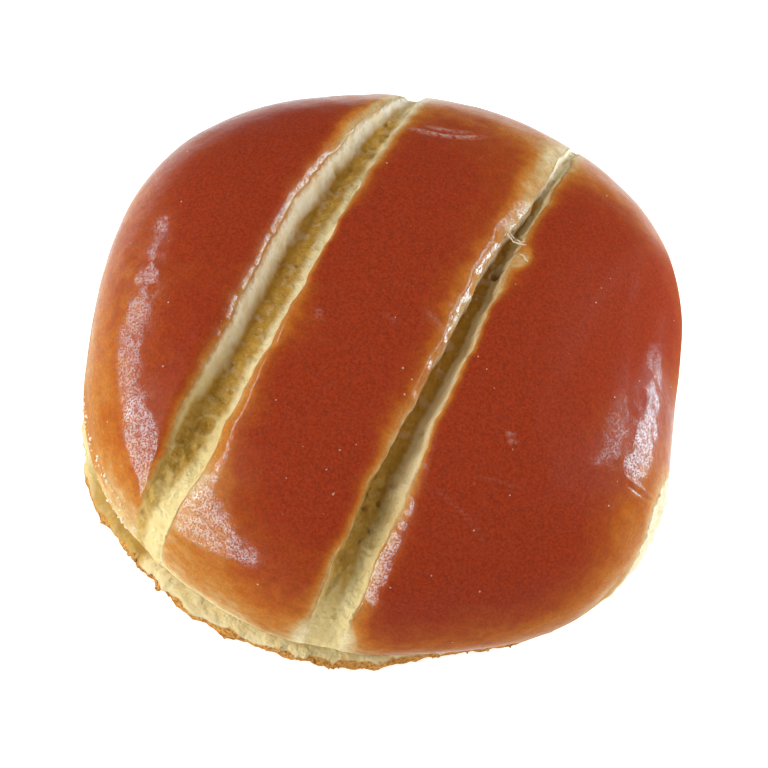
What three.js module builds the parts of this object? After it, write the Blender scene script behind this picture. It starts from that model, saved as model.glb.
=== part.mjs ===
// A glossy round bun scored by two knife cuts, in millimetres.
// It stands on z = 0 with the middle of its box at the origin, and the cuts run along Y.

import * as THREE from "three";
import { ParametricGeometry } from "three/addons/geometries/ParametricGeometry.js";
import { mergeGeometries, mergeVertices } from "three/addons/utils/BufferGeometryUtils.js";

// Overall sizes
const HEIGHT = 48;
const BELLY_RADIUS = 55.5;
const BELLY_HEIGHT = 16;
const DOME_POWER = 2.2;

// Uneven outline: waves round the belly, with their count, swing and direction of a crest in degrees
const OUTLINE_WAVES = [
  { count: 2, swing: 0.45, crest: 77 },
  { count: 3, swing: 0.45, crest: -43 },
  { count: 4, swing: 1.6, crest: -24 },
  { count: 5, swing: 0.25, crest: -16 },
  { count: 6, swing: 0.6, crest: -13 },
];

// Swollen side where the bun was torn from its neighbour, with its direction and spread in degrees
const TORN_SIDE = { direction: -4, spread: 9, swell: 0.5 };

// Underside of the belly, the crease below it and the foot that the bun stands on
const TUCK = 5;
const CREASE_HEIGHT = 4.5;
const CREASE_DEPTH = 0.8;
const FOOT_HEIGHT = 3.9;
const FOOT_ROUND = 1.5;
const FOOT_INSET = 1.8;
const FOOT_LEAN = { direction: -110, swing: 1.2 };
const FOOT_CRUMBLE = { count: 11, swing: 0.35 };

// The foot draws in under the belly on the right, between a start and an end that each span some degrees
const FOOT_RETREAT = { depth: 2.2, start: [-78, -52], end: [110, 170] };

// Knife cuts, near end to far end: place along Y, middle of the cut, width and depth
const LEFT_CUT = [
  [-53, -21.3, 6.9, 0.3],
  [-45, -20.9, 7.5, 3.0],
  [-36, -21.5, 8.4, 4.6],
  [-24, -21.5, 8.7, 5.2],
  [-8, -21.8, 9.5, 5.6],
  [8, -22.3, 9.1, 5.6],
  [22, -22.0, 7.9, 4.8],
  [31, -21.6, 7.0, 3.5],
  [41, -20.2, 4.6, 1.6],
  [54, -19.9, 3.6, 0.4],
];
const RIGHT_CUT = [
  [-55, 13.9, 6.8, 0.5],
  [-46, 13.8, 6.9, 3.4],
  [-34, 13.2, 6.6, 5.0],
  [-20, 12.4, 4.8, 5.2],
  [-8, 12.0, 4.5, 5.2],
  [4, 11.4, 4.0, 5.0],
  [15, 10.6, 3.6, 4.6],
  [23, 10.0, 5.1, 4.0],
  [38, 10.1, 4.5, 1.6],
  [54, 10.5, 3.2, 0.3],
];
const CUTS = [LEFT_CUT, RIGHT_CUT];
const WALL_POWER = 3;

// Crust beside a cut: it rolls over at the lip and sags more gently further away
const LIP_ROLL = { drop: 1.1, reach: 1.6 };
const PANEL_SAG = { drop: 1.1, reach: 6 };
const FULL_DEPTH = 5;

// Mesh steps: columns across the lobes, cuts and middle panel from left to right, then rows and rings
const BAND_COLUMNS = [13, 10, 10, 10, 15];
const COLUMNS = BAND_COLUMNS.reduce((sum, count) => sum + count, 0);
const ROWS = 44;
const TUCK_RINGS = 6;
const FOOT_RINGS = 5;
const LIP_PASSES = 5;
const MERGE_DISTANCE = 1e-3;

const radians = THREE.MathUtils.degToRad;
const degrees = THREE.MathUtils.radToDeg;
const smoothstep = THREE.MathUtils.smoothstep;
const lerp = THREE.MathUtils.lerp;

// Radius of the belly in a direction seen from above.
function bellyRadius(angle) {
  const waves = OUTLINE_WAVES.reduce(
    (sum, wave) => sum + wave.swing * Math.cos(wave.count * (angle - radians(wave.crest))),
    0,
  );
  const turn = (angle - radians(TORN_SIDE.direction)) / radians(TORN_SIDE.spread);
  return BELLY_RADIUS + waves + TORN_SIDE.swell * Math.exp(-turn * turn);
}

// Radius of the foot in a direction seen from above: the belly's, set in, with a crumbly edge.
function footRadius(angle) {
  const lean = FOOT_LEAN.swing * Math.cos(angle - radians(FOOT_LEAN.direction));
  const crumble = FOOT_CRUMBLE.swing * Math.cos(FOOT_CRUMBLE.count * angle);
  const { depth, start, end } = FOOT_RETREAT;
  const retreat = depth * (smoothstep(degrees(angle), ...start) - smoothstep(degrees(angle), ...end));
  return bellyRadius(angle) - FOOT_INSET - retreat + lean + crumble;
}

// Smooth curve of a cut's middle, width and depth through its stations.
function cutCurve(stations) {
  const places = stations.map((station) => station[0]);
  const values = stations.flatMap((station) => station.slice(1));
  const curve = new THREE.CubicInterpolant(places, values, 3);
  return (along) => {
    const place = THREE.MathUtils.clamp(along, places[0], places[places.length - 1]);
    const [middle, width, depth] = curve.evaluate(place);
    return { left: middle - width / 2, right: middle + width / 2, depth };
  };
}

const cutCurves = CUTS.map(cutCurve);
const lips = cutCurves.flatMap((cut) => [(along) => cut(along).left, (along) => cut(along).right]);

// Depth of the surface below the plain bun: the floor and walls of a cut, and the crust that sags beside it.
function sink(x, y) {
  return cutCurves.reduce((sum, curve) => {
    const cut = curve(y);
    const outside = Math.max(cut.left - x, x - cut.right, 0);
    const strength = Math.min(cut.depth / FULL_DEPTH, 1);
    const roll = LIP_ROLL.drop * Math.exp(-outside / LIP_ROLL.reach);
    const sag = PANEL_SAG.drop * Math.exp(-outside / PANEL_SAG.reach);
    const across = (2 * x - cut.left - cut.right) / (cut.right - cut.left);
    const floor = outside > 0 ? 0 : cut.depth * (1 - Math.abs(across) ** WALL_POWER);
    return sum + strength * (roll + sag) + floor;
  }, 0);
}

// Place of a lip across a row of the crown, as a share of the belly radius.
function lipShare(lip, rowAngle) {
  let share = lip(0) / BELLY_RADIUS;
  for (let pass = 0; pass < LIP_PASSES; pass += 1) {
    const along = Math.sqrt(1 - share * share) * Math.sin(rowAngle);
    const radius = bellyRadius(Math.atan2(along, share));
    share = lip(along * radius) / radius;
  }
  return share;
}

// Eased share of a band's width: columns crowd towards the lips at the band's edges.
function crowd(even, band) {
  if (band === 0) {
    return Math.sin((even * Math.PI) / 2);
  }
  if (band === BAND_COLUMNS.length - 1) {
    return 1 - Math.cos((even * Math.PI) / 2);
  }
  return (1 - Math.cos(even * Math.PI)) / 2;
}

// Place of a column across a row of the crown, as a share of the belly radius.
function columnShare(column, rowAngle) {
  let band = 0;
  let step = column;
  while (step > BAND_COLUMNS[band]) {
    step -= BAND_COLUMNS[band];
    band += 1;
  }
  const edges = [-1, ...lips.map((lip) => lipShare(lip, rowAngle)), 1].map(Math.asin);
  const share = crowd(step / BAND_COLUMNS[band], band);
  return Math.sin(lerp(edges[band], edges[band + 1], share));
}

// Point of the crown: rows are half turns about X from near belly to far belly, columns are slices across X.
function crownPoint(u, v, target) {
  const rowAngle = (v - 0.5) * Math.PI;
  const across = columnShare(Math.round(u * COLUMNS), rowAngle);
  const along = Math.sqrt(Math.max(1 - across * across, 0)) * Math.sin(rowAngle);
  const radius = bellyRadius(Math.atan2(along, across));
  const reach = Math.min(Math.hypot(across, along), 1);
  const rise = (1 - reach ** DOME_POWER) ** (1 / DOME_POWER);
  const domeRise = HEIGHT - BELLY_HEIGHT;
  const tilt = reach ** (DOME_POWER - 2) / radius;
  const outward = new THREE.Vector3(tilt * across, tilt * along, rise ** (DOME_POWER - 1) / domeRise);
  target.set(across * radius, along * radius, BELLY_HEIGHT + domeRise * rise);
  target.addScaledVector(outward.normalize(), -sink(target.x, target.y));
}

// Radius and height of each ring: down the belly's tuck, into the crease, round the foot and to the middle.
function skirtRing(ring, angle) {
  if (ring <= TUCK_RINGS) {
    const turn = ((ring / TUCK_RINGS) * Math.PI) / 2;
    const height = BELLY_HEIGHT - (BELLY_HEIGHT - CREASE_HEIGHT) * Math.sin(turn);
    return { radius: bellyRadius(angle) - TUCK * (1 - Math.cos(turn)), height };
  }
  if (ring === TUCK_RINGS + 1) {
    return { radius: bellyRadius(angle) - TUCK - CREASE_DEPTH, height: (CREASE_HEIGHT + FOOT_HEIGHT) / 2 };
  }
  if (ring <= TUCK_RINGS + 1 + FOOT_RINGS) {
    const turn = (0.5 - (ring - TUCK_RINGS - 2) / (FOOT_RINGS - 1)) * Math.PI;
    const radius = footRadius(angle) - FOOT_ROUND * (1 - Math.cos(turn));
    return { radius, height: (FOOT_HEIGHT * (1 + Math.sin(turn))) / 2 };
  }
  return { radius: 0, height: 0 };
}

const RINGS = TUCK_RINGS + FOOT_RINGS + 2;

// Point of the skirt: it goes round under the crown's edge, along the near side and back along the far one.
function skirtPoint(u, v, target) {
  const step = Math.round(u * 2 * COLUMNS);
  const near = step <= COLUMNS;
  const rowAngle = near ? -Math.PI / 2 : Math.PI / 2;
  const across = columnShare(near ? step : 2 * COLUMNS - step, rowAngle);
  const along = Math.sqrt(Math.max(1 - across * across, 0)) * Math.sin(rowAngle);
  const angle = Math.atan2(along, across);
  const { radius, height } = skirtRing(Math.round((1 - v) * RINGS), angle);
  const belly = bellyRadius(angle);
  const fade = Math.max((height - CREASE_HEIGHT) / (BELLY_HEIGHT - CREASE_HEIGHT), 0);
  const reach = radius - fade * sink(belly * across, belly * along);
  target.set(reach * Math.cos(angle), reach * Math.sin(angle), height);
}

// One closed surface from the crown and the skirt.
function bunGeometry() {
  const crown = new ParametricGeometry(crownPoint, COLUMNS, ROWS);
  const skirt = new ParametricGeometry(skirtPoint, 2 * COLUMNS, RINGS);
  const shell = mergeGeometries([crown, skirt]);
  shell.deleteAttribute("normal");
  shell.deleteAttribute("uv");
  const geometry = mergeVertices(shell, MERGE_DISTANCE);
  geometry.computeBoundingBox();
  const middle = geometry.boundingBox.getCenter(new THREE.Vector3());
  geometry.translate(-middle.x, -middle.y, 0);
  geometry.computeVertexNormals();
  return geometry;
}

const crust = new THREE.MeshStandardMaterial({ color: 0xa34a24, roughness: 0.35, metalness: 0 });
const bun = new THREE.Mesh(bunGeometry(), crust);
bun.name = "bun";

const part = new THREE.Group();
part.add(bun);

export default part;
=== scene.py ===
"""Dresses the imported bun: baked crust, torn crumb, loose crumbs and a plain stage."""
import itertools

import bpy
import numpy as np
from mathutils import Matrix, Vector


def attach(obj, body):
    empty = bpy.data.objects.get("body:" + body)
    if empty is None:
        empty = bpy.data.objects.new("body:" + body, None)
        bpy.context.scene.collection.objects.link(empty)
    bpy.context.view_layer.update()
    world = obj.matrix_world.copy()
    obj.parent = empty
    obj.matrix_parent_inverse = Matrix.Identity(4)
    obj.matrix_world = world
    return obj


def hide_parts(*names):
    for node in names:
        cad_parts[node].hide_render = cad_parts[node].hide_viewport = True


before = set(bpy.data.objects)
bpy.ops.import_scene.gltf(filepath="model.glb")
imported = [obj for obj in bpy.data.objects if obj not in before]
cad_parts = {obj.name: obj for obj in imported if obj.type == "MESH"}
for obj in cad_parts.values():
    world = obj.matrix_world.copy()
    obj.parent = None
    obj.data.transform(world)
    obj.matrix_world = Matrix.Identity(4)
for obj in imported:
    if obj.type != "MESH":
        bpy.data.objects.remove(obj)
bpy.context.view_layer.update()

bl_info = {
    "name": "Scored Bun",
    "version": (1, 0, 0),
    "blender": (4, 5, 0),
    "location": "3D View > Sidebar > Bun",
    "description": "Builds a glossy bun with two knife cuts, its torn crumb and a plain stage",
    "category": "Add Mesh",
}

MM = 0.001
BODY = "root"
NODE = "bun"

# Lengths below are in millimetres, directions in degrees, and places (x, y) are seen from above

# Waves round the belly: count, swing and direction of a crest
OUTLINE_WAVES = ((2, 0.45, 77), (3, 0.45, -43), (4, 1.6, -24), (5, 0.25, -16), (6, 0.6, -13))
TORN_SIDE = {"direction": -4, "spread": 9, "swell": 0.5}

# Underside of the belly, the crease and the foot
TUCK = 5
CREASE_HEIGHT = 4.5
CREASE_DEPTH = 0.8
FOOT_HEIGHT = 3.9
FOOT_ROUND = 1.5
FOOT_INSET = 1.8
FOOT_LEAN = {"direction": -110, "swing": 1.2}
FOOT_CRUMBLE = {"count": 11, "swing": 0.35}
FOOT_RETREAT = {"depth": 2.2, "start": (-78, -52), "end": (110, 170)}

# Knife cuts from near to far: place along Y, middle, width, depth, run of the left and of the right wall, and
# width of the crust that rolls over at the left and at the right lip
LEFT_CUT = np.array([
    [-53, -21.3, 6.9, 0.3, 3.4, 3.4, 0.8, 2.6],
    [-45, -20.9, 7.5, 3.0, 3.0, 3.4, 0.9, 2.8],
    [-36, -21.5, 8.4, 4.6, 2.4, 2.8, 1.0, 2.4],
    [-24, -21.5, 8.7, 5.2, 2.5, 3.0, 1.7, 1.3],
    [-8, -21.8, 9.5, 5.6, 2.1, 2.9, 1.7, 0.9],
    [8, -22.3, 9.1, 5.6, 2.0, 2.4, 1.7, 0.8],
    [22, -22.0, 7.9, 4.8, 2.1, 2.1, 1.7, 0.8],
    [31, -21.6, 7.0, 3.5, 2.6, 1.6, 1.7, 0.8],
    [41, -20.2, 4.6, 1.6, 1.8, 1.1, 1.2, 0.8],
    [54, -19.9, 3.6, 0.4, 1.5, 1.0, 0.8, 0.8],
])
RIGHT_CUT = np.array([
    [-55, 13.9, 6.8, 0.5, 2.0, 2.5, 0.8, 1.6],
    [-46, 13.8, 6.9, 3.4, 0.8, 2.6, 0.8, 3.0],
    [-34, 13.2, 6.6, 5.0, 0.5, 2.6, 0.9, 1.8],
    [-20, 12.4, 4.8, 5.2, 0.4, 1.8, 1.2, 0.8],
    [-8, 12.0, 4.5, 5.2, 0.4, 1.3, 1.3, 0.7],
    [4, 11.4, 4.0, 5.0, 0.4, 1.0, 1.9, 0.7],
    [15, 10.9, 3.2, 4.6, 0.5, 0.9, 2.2, 0.8],
    [23, 11.4, 2.4, 3.8, 0.6, 1.0, 3.2, 0.8],
    [31, 11.6, 2.0, 2.6, 0.6, 0.8, 4.0, 0.8],
    [38, 11.4, 2.0, 1.6, 0.8, 0.8, 3.8, 0.8],
    [54, 11.0, 2.2, 0.3, 0.8, 0.8, 1.6, 0.8],
])
CUTS = (LEFT_CUT, RIGHT_CUT)
LIP_SLOPES = ((1.22, 0.9), (0.74, 0.9))
WALL_POWER = 2.2
FULL_DEPTH = 5
ROLL_EASE = (0.12, 0.1)
SAG_REACH = 6

# Shares of a wall's run between which the painted shade of the floor fades in, on the left and on the right
LEFT_FADE = (0.25, 0.8)
RIGHT_FADE = (0.8, 1.4)

# Ragged line of the lips: lengths and swings of its waves
LIP_WAVES = ((11.3, 0.16), (6.1, 0.09), (3.3, 0.05), (1.9, 0.02))

# Mesh steps: columns across left lobe, left cut, middle panel, right cut and right lobe, then rows and rings
BAND_COLUMNS = (46, 50, 48, 44, 60)
ROWS = 300
TUCK_RINGS = 18
LEDGE_RINGS = 4
FOOT_RINGS = 15
UNDERSIDE_SHRINKS = (0.95, 0.8, 0.55, 0.28)
LIP_PASSES = 8
CROWDING = 0.7

# Layers of lumps: width, seed and share
CRUST_LUMPS = ((15, 1, 1.0), (5, 2, 0.35))
SKIN_LUMPS = ((1.6, 16, 0.02),)
CRUMB_LUMPS = ((2.6, 3, 1.0), (1.2, 4, 0.7), (0.8, 6, 0.4))
FOOT_LUMPS = ((5, 12, 0.5), (2.2, 13, 0.4))
PUCKER_LUMPS = ((2.8, 15, 1.0),)
SHRED_LUMPS = ((0.7, 41, 0.12),)
BROWNING_PATCHES = ((20, 5, 0.06),)
TORN_FIBRES = 0.3

# Pits in the crumb: place, radius and depth
CRUMB_PITS = (
    (-22.0, -39.0, 1.5, 0.9), (-19.6, -22.0, 0.5, 0.5), (11.6, 12.8, 0.9, 2.4), (-21.5, -30.5, 0.7, 0.4),
    (-20.3, 2.0, 0.8, 0.5), (-22.5, -12.0, 0.6, 0.4), (12.8, -27.0, 0.8, 0.5), (13.4, -38.0, 0.6, 0.5),
)

# Further pits at random: how many, their range along Y, radius and depth, and how far they keep from a lip
LOOSE_PITS = {"count": 70, "along": (-46, 40), "radius": (0.3, 0.7), "depth": (0.2, 0.5), "margin": 0.8}

# Creases in the crust: start and end, bow, width and depth
CRUST_CREASES = (
    (-16.5, 30.4, -2.0, 37.0, -1.4, 0.6, 0.6), (-14.0, 33.0, -5.0, 36.4, -0.8, 0.5, 0.5),
    (6.2, -1.6, 9.4, -3.4, 0.3, 0.5, 0.4), (3.2, -5.5, 8.4, -8.0, 0.4, 0.6, 0.3),
    (-2.2, -9.8, 0.8, -10.8, 0.2, 0.5, 0.2), (25.4, -16.6, 27.6, -18.8, 0.2, 0.4, 0.5),
    (18.0, -31.5, 32.8, -34.0, 0.6, 0.3, 0.2), (24.0, -27.0, 33.0, -24.0, 0.6, 0.3, 0.16),
    (47.8, -9.2, 53.6, -6.4, -0.6, 0.4, 0.3), (-13.6, -13.6, -12.4, -16.4, 0.3, 0.7, 0.3),
)
CREASE_SHARE = 0.4
# Gain and most of the scuff and painted sheen on the ridges of the folds
SCUFF_AND_SHEEN = 2.2
SCUFF_AND_SHEEN_LIMIT = 0.7

# Puckered patches and dull patches of crust: middle and half sizes
PUCKERS = ((45.5, 1.5, 3.5, 12.5), (-43.0, -17.0, 4.5, 6.0), (8.5, -4.0, 2.5, 4.0), (19.5, -46.0, 3.0, 5.0))
DULL_PATCHES = ((42, 28, 10, 14), (35, 8, 6.5, 24))
DULLING = 0.95

# Torn shreds: start and end, bow, sag, 1 where the shred bridges a cut, width and browning
SHREDS = (
    (8.9, 18.9, 13.1, 17.9, -0.6, 0.3, 1, 0.4, 0.35), (9.4, 19.6, 12.8, 18.6, -0.4, 0.5, 1, 0.28, 0.25),
    (12.9, 15.4, 14.9, 14.4, 0.2, -0.05, 0, 0.35, 0.7),
)
SHRED_STEPS = 18
SHRED_SIDES = 10
SHRED_FLATNESS = 0.6

# Loose crumbs: how many, range of their sizes and of their browning
FOOT_CRUMBS = (190, (0.4, 1.1), (0.5, 1.0))
BELLY_CRUMBS = (70, (0.3, 1.2), (0.12, 0.22))
BELLY_SPOT = {"direction": -131, "spread": 12, "height": 13, "reach": 6}
BALL_CORNERS = 12

# Browning: direction and height where the crust turns orange, and the height over which it browns
PALE_HEIGHTS = np.array([
    [-180, 24], [-155, 28], [-130, 27.5], [-115, 26], [-100, 25], [-85, 20], [-65, 13.5], [-48, 14],
    [-30, 19.5], [-16, 28.5], [-4, 30], [12, 24], [30, 18], [60, 17.5], [100, 19], [140, 22], [180, 24.5],
])
BROWNING_SPAN = 32

# Least browning of the side, and the heights between which it fades to cream above the foot
LOW_BROWNING = 0.27
LOW_CREAM = (6, 16)

# Shares of the browning lost where the cuts run out, beside the torn patch, at the far end and on a far lip
RUN_OUT_LOSS = 0.8
TORN_LOSS = 0.6
FAR_LOSS = 0.5
FAR_LIP_LOSS = 0.5

# Lighter crust beside the lips: place along Y, then its reach at the two lips of each cut
LIP_GLOW = np.array([
    [-54, 0.6, 5.0, 1.7, 2.4], [-42, 0.6, 5.0, 1.7, 2.2], [-34, 0.8, 4.2, 2.2, 1.6],
    [-26, 0.9, 3.8, 3.3, 0.7], [-16, 1.1, 4.2, 3.2, 0.9], [-6, 1.3, 1.6, 3.9, 0.65],
    [4, 1.35, 1.0, 4.6, 0.75], [14, 1.6, 2.1, 4.3, 2.4], [24, 2.2, 2.0, 6.0, 1.3],
    [34, 2.4, 2.6, 6.0, 1.6], [54, 2.4, 3.0, 6.0, 2.0],
])
GLOW_SHARE = 0.72
GLOW_POWER = 1.3
EDGE_SHARE = 0.25
EDGE_REACH = 0.45
LIP_INSIDE = -0.6

# Paler crust where a flake tore off beside the right cut: middle, half sizes and loss of browning
FLAKE = (13.9, 15.0, 2.0, 3.0)
FLAKE_LOSS = 0.6

# Glaze pooled along the four lips: places along Y where it starts, is full, fades and ends, share and width
LIP_POOLS = (
    (-30, -18, 34, 44, 1.0, 1.0), (-50, -44, -10, 0, 0.3, 1.2),
    (-46, 14, 24, 34, 1.0, 1.5), (-53, -49, -43, -38, 0.4, 2.4),
)

# Toasted edge of the foot: direction and height where the toasting starts
TOAST_HEIGHTS = np.array([
    [-180, 2.3], [-140, 2.5], [-115, 2.6], [-95, 2.9], [-70, 3.3], [-50, 3.2], [-30, 2.5], [0, 2.3],
    [90, 2.3], [180, 2.3],
])
TOAST_WANDER = 1.3
# Share of painted shade in spots along the crease, drawn in the toast colours
CREASE_SHADE = 0.62

# Torn patch on the right side: height of its top, how fast its border falls away and its direction
TORN_TOP = 26.5
TORN_BEND = 0.075
TORN_MIDDLE = -5

# Warmer crumb: its share on the foot, on the torn side and on the right half of a cut
FOOT_WARMTH = 0.85
TORN_WARMTH = 0.45
WALL_WARMTH = 0.75

# Share of painted shade, the sunk crumb's colour, on the left wall of the left cut at its near end
NEAR_WALL_SHADE = 0.8

# Grain of the crust and of the crumb in their materials: width of the lumps
CRUST_GRAIN = {"patch": 12, "mottle": 2.4, "speckle": 0.55, "dust": 0.36, "painted_glint": 2.6, "rub_and_sheen": 0.8,
               "border": 1.1, "haze": 1.5, "pucker": 1.7}
CRUMB_GRAIN = {"lump": 2.2, "fibre": 0.5, "pore": 1.1}
NOISE_RANGE = (0.3, 0.7)

# Lights, with lengths in metres: direction, size, turn, and True for a card that only the glaze mirrors
LIGHTS = {
    "left_light": ((-0.66, -0.50, 0.50), (0.6, 0.5), 0, False),
    "right_light": ((0.70, 0.45, 0.50), (0.6, 0.5), 0, False),
    "left_card": ((-0.989, -0.121, 0.070), (0.58, 0.21), 0, True),
    "near_card": ((-0.614, -0.786, 0.070), (0.95, 0.52), -20, True),
    "right_card": ((0.785, 0.618, -0.035), (0.16, 0.46), 39, True),
    "lip_card": ((0.740, 0.579, 0.342), (0.50, 0.14), -31, True),
}
CARD_TINT = (0.62, 0.95, 1.08)
LIGHT_DISTANCE = 0.7
LIGHT_AIM = (0, 0, 0.025)

# Half width of the floor in metres, and the point that the camera looks at
FLOOR_REACH = 4.0
CAMERA_AIM = (1.24, -5.82, 20)


def smooth_step(low, high, value):
    """Eased ramp 3t^2 - 2t^3, where t runs from 0 at low to 1 at high."""
    share = np.clip((value - low) / (high - low), 0, 1)
    return share * share * (3 - 2 * share)


def lattice_noise(points, seed):
    """Gradient noise: random slopes at whole-number corners, faded by 6t^5 - 15t^4 + 10t^3 and summed."""
    draw = np.random.default_rng(seed)
    order = draw.permutation(256)
    slopes = draw.normal(size=(256, 3))
    slopes /= np.linalg.norm(slopes, axis=1, keepdims=True)
    cell = np.floor(points).astype(int)
    within = points - cell
    fade = within ** 3 * (within * (within * 6 - 15) + 10)
    total = np.zeros(len(points))
    for corner in itertools.product((0, 1), repeat=3):
        spot = (cell + corner) & 255
        pick = order[(order[(order[spot[:, 0]] + spot[:, 1]) & 255] + spot[:, 2]) & 255]
        weight = np.prod(np.where(np.array(corner) == 1, fade, 1 - fade), axis=1)
        total += weight * np.sum(slopes[pick] * (within - corner), axis=1)
    return 1.6 * total


def lumpy_noise(points, layers):
    """Sum of noise layers, each with the width of its lumps, a seed and a share."""
    return sum(share * lattice_noise(points / width, seed) for width, seed, share in layers)


def ring_noise(turns, heights, level, seed):
    """Noise round the bun, by steps of direction and of height."""
    return lattice_noise(np.stack([turns, heights, np.full_like(turns, level)], axis=1), seed)


def through_stations(stations, along):
    """Smooth curve through stations: cubic pieces whose slope at a station joins its two neighbours."""
    place, value = stations[:, 0], stations[:, 1:]
    step = np.diff(place)[:, None]
    rise = np.diff(value, axis=0) / step
    slope = np.empty_like(value)
    slope[1:-1] = (value[2:] - value[:-2]) / (place[2:] - place[:-2])[:, None]
    slope[0] = 1.5 * rise[0] - 0.5 * slope[1]
    slope[-1] = 1.5 * rise[-1] - 0.5 * slope[-2]
    along = np.clip(along, place[0], place[-1])
    piece = np.clip(np.searchsorted(place, along, side="right") - 1, 0, len(place) - 2)
    gap = step[piece]
    t = (along - place[piece])[..., None] / gap
    start = (1 + 2 * t) * (1 - t) ** 2 * value[piece] + t * (1 - t) ** 2 * gap * slope[piece]
    end = t ** 2 * (3 - 2 * t) * value[piece + 1] - t ** 2 * (1 - t) * gap * slope[piece + 1]
    return start + end


class BunForm:
    """Plain form of the bun in millimetres, before its fine relief."""

    def __init__(self, sizes):
        self.height = sizes.height / MM
        self.girth = sizes.girth_radius / MM
        self.girth_height = sizes.girth_height / MM
        self.dome_power = sizes.dome_power
        self.roll = sizes.lip_roll
        self.sag = sizes.panel_sag / MM
        self.deepen = sizes.cut_depth

    def belly(self, angle):
        """Radius by direction: a round belly, plus cosine waves, plus a bell-shaped swelling on one side."""
        waves = sum(swing * np.cos(count * (angle - np.radians(crest)))
                    for count, swing, crest in OUTLINE_WAVES)
        turn = (angle - np.radians(TORN_SIDE["direction"])) / np.radians(TORN_SIDE["spread"])
        return self.girth + waves + TORN_SIDE["swell"] * np.exp(-turn ** 2)

    def foot(self, angle):
        """Radius of the foot: the belly's less an inset, leaning and waved, and drawn in on the right."""
        lean = FOOT_LEAN["swing"] * np.cos(angle - np.radians(FOOT_LEAN["direction"]))
        crumble = FOOT_CRUMBLE["swing"] * np.cos(FOOT_CRUMBLE["count"] * angle)
        turn = np.degrees(angle)
        retreat = smooth_step(*FOOT_RETREAT["start"], turn) - smooth_step(*FOOT_RETREAT["end"], turn)
        return self.belly(angle) - FOOT_INSET - FOOT_RETREAT["depth"] * retreat + lean + crumble

    def middle(self):
        """Middle of the outline's box in plan, which is the origin of the finished bun."""
        angle = np.linspace(-np.pi, np.pi, 3601)
        x, y = self.belly(angle) * np.cos(angle), self.belly(angle) * np.sin(angle)
        return np.array([(x.min() + x.max()) / 2, (y.min() + y.max()) / 2, 0])

    def cuts(self, along):
        """Left lip, right lip and stations of each cut, with sine waves that make the lips ragged."""
        found = []
        draw = np.random.default_rng(11)
        for stations in CUTS:
            values = np.moveaxis(through_stations(stations, along), -1, 0)
            lips = []
            for side in (-0.5, 0.5):
                phase = draw.uniform(0, 2 * np.pi, len(LIP_WAVES))
                ragged = sum(swing * np.sin(2 * np.pi * along / length + turn)
                             for (length, swing), turn in zip(LIP_WAVES, phase))
                lips.append(values[0] + side * values[1] + ragged)
            found.append((*lips, values))
        return found

    def lip_distance(self, x, y):
        """Distance from the nearest lip, negative inside a cut, and the width of that lip's roll."""
        away, rolled = [], []
        for left, right, values in self.cuts(y):
            away.append(np.maximum(left - x, x - right))
            rolled.append(np.where(x < values[0], values[5], values[6]))
        nearest = np.argmin(away, axis=0)
        return np.choose(nearest, away), np.choose(nearest, rolled)

    def lip_distances(self, x, y):
        """Distance outwards from the left and right lip of the left cut, then of the right cut."""
        return np.array([away for left, right, _ in self.cuts(y) for away in (left - x, x - right)])

    def floor_share(self, x, y):
        """Share of a cut's depth: each wall falls as 1 - (1 - t)^2.2 over its run, to a flat floor."""
        near = []
        for left, right, (_, _, _, left_wall, right_wall, _, _) in self.cuts(y):
            left_fall = 1 - (1 - np.clip((x - left) / left_wall, 0, 1)) ** WALL_POWER
            right_fall = 1 - (1 - np.clip((right - x) / right_wall, 0, 1)) ** WALL_POWER
            near.append(left_fall * right_fall)
        return np.array(near)

    def depth_share(self, x, y):
        """Mask of painted shade on a cut's floor: 1 between the feet of its two walls, fading up each wall.
        """
        masks = []
        for left, right, (_, _, depth, left_wall, right_wall, _, _) in self.cuts(y):
            left_run = left_wall * (1 - 0.75 * smooth_step(-26, -42, y))
            right_run = right_wall * (1 + 0.35 * smooth_step(-14, 4, y))
            mask = smooth_step(*LEFT_FADE, (x - left) / left_run)
            mask = mask * smooth_step(*RIGHT_FADE, (right - x) / right_run)
            masks.append(mask * smooth_step(0.2, 3.0, depth))
        return np.max(masks, axis=0)

    def sink(self, x, y):
        """Depth below the dome: a cut's trough, a slope that eases out beside each lip and a wide sag."""
        total = np.zeros_like(x)
        parts = zip(self.floor_share(x, y), LIP_SLOPES, self.cuts(y))
        for floor, (left_slope, right_slope), (left, right, values) in parts:
            middle, width, depth, _, _, left_roll, right_roll = values
            outside = np.maximum(np.maximum(left - x, x - right), 0)
            away = np.maximum(np.abs(x - middle) - width / 2, 0)
            side = smooth_step(-0.5, 0.5, (x - middle) / width)
            rolled = (1 - side) * left_roll + side * right_roll
            slope = (1 - side) * left_slope + side * right_slope
            ease = ROLL_EASE[0] + ROLL_EASE[1] * rolled
            strength = np.minimum(depth / FULL_DEPTH, 1)
            total += strength * self.roll * slope * ease * np.log1p(np.exp((rolled - outside) / ease))
            total += strength * self.sag * np.exp(-away / SAG_REACH)
            total += self.deepen * depth * floor
        return total

    def dome(self, across, along):
        """Point, outward direction and plan of the dome, from shares of the belly radius across and along."""
        angle = np.arctan2(along, across)
        radius = self.belly(angle)
        reach = np.minimum(np.hypot(across, along), 1)
        rise = (1 - reach ** self.dome_power) ** (1 / self.dome_power)
        span = self.height - self.girth_height
        tilt = reach ** (self.dome_power - 2) / radius
        outward = np.stack([tilt * across, tilt * along, rise ** (self.dome_power - 1) / span], axis=-1)
        outward /= np.linalg.norm(outward, axis=-1, keepdims=True)
        plan = np.stack([across * radius, along * radius], axis=-1)
        point = np.concatenate([plan, (self.girth_height + span * rise)[..., None]], axis=-1)
        return point, outward, plan

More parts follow.
